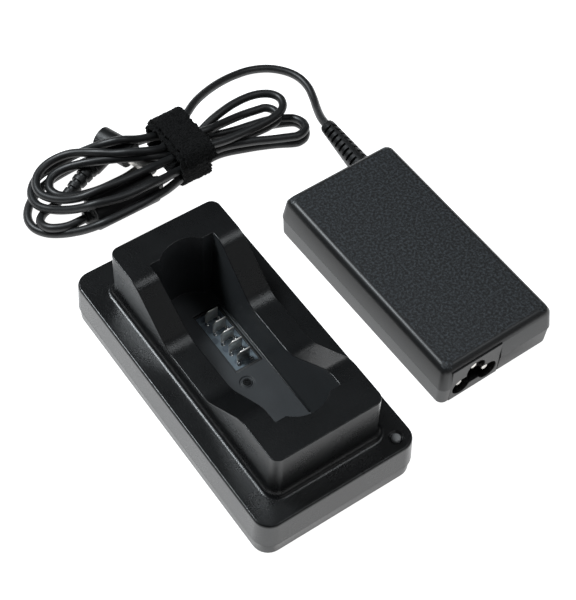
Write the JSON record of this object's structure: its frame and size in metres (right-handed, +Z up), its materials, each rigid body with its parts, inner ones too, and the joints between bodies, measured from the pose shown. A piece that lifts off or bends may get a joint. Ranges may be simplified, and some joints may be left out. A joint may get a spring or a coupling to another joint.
{
  "type": "battery charging cradle with mains adapter",
  "caption": "Bench cradle with an open battery pocket and a row of blade contacts, with a desktop mains adapter and its tied lead.",
  "frame": {"origin": "centre of the cradle's underside, on the bench", "axes": "+X along the cradle's short side towards the adapter, +Y along its long side towards the tied lead, +Z up out of the battery pocket"},
  "size_m": [0.1175, 0.1608, 0.0352],
  "materials": {
    "cradle_plastic": "fine-grained black",
    "adapter_top_plastic": "spark-textured black with a smooth rounded edge",
    "adapter_base_plastic": "satin black",
    "inlet_plastic": "satin black",
    "charger_laminate": "blue-grey lacquered board",
    "adapter_laminate": "green lacquered board",
    "contact_nickel": "nickel plated",
    "contact_brass": "plated",
    "clear_lens": "clear dome",
    "led_resin": "milky",
    "component_black": "moulded",
    "capacitor_sleeve": "shrink sleeve",
    "zinc_steel": "zinc plated",
    "foot_rubber": "matt",
    "ferrite": "sintered grey",
    "winding_tape": "yellow tape",
    "choke_wire": "enamelled wire",
    "film_capacitor_case": "moulded",
    "sink_aluminium": "plain sheet",
    "fuse_glass": "glass tube",
    "relief_vinyl": "satin vinyl",
    "cord_vinyl": "satin vinyl jacket",
    "hook_and_loop": "fuzzy black"
  },
  "bodies": {
    "cradle": {"cradle_top_shell": "cradle_plastic", "cradle_base_shell": "cradle_plastic", "charger_board": "charger_laminate", "contact_blade_1": "contact_nickel", "contact_blade_2": "contact_nickel", "contact_blade_3": "contact_nickel", "contact_blade_4": "contact_nickel", "contact_blade_5": "contact_nickel", "status_lens": "clear_lens", "dc_jack_body": "inlet_plastic", "cradle_feet": "foot_rubber", "status_led": "led_resin", "dc_jack_pin": "contact_nickel", "power_inductor": "component_black", "input_capacitor": "capacitor_sleeve", "charge_controller": "component_black", "power_transistor": "component_black", "case_screws": "zinc_steel"},
    "adapter": {"adapter_top_shell": "adapter_top_plastic", "adapter_bottom_shell": "adapter_base_plastic", "mains_inlet": "inlet_plastic", "inlet_pins": "contact_nickel", "adapter_feet": "foot_rubber", "cord_strain_relief": "relief_vinyl", "adapter_board": "adapter_laminate", "transformer_core": "ferrite", "transformer_winding": "winding_tape", "bulk_capacitor": "capacitor_sleeve", "output_capacitors": "capacitor_sleeve", "filter_choke": "choke_wire", "suppression_capacitor": "film_capacitor_case", "bridge_rectifier": "component_black", "primary_heat_sink": "sink_aluminium", "output_heat_sink": "sink_aluminium", "mains_fuse": "fuse_glass", "dc_cord": "cord_vinyl", "cord_hank": "cord_vinyl", "cord_strap": "hook_and_loop", "ferrite_cover": "relief_vinyl", "ferrite_bead": "ferrite", "plug_body": "relief_vinyl", "plug_strain_relief": "relief_vinyl", "plug_barrel": "contact_nickel", "plug_insulator": "component_black", "plug_contact": "contact_brass"}
  },
  "joints": [
    {"name": "adapter_slide", "type": "slide", "parent": "cradle", "child": "adapter", "axis": [1, 0, 0], "range_m": [0, 0.06]}
  ]
}
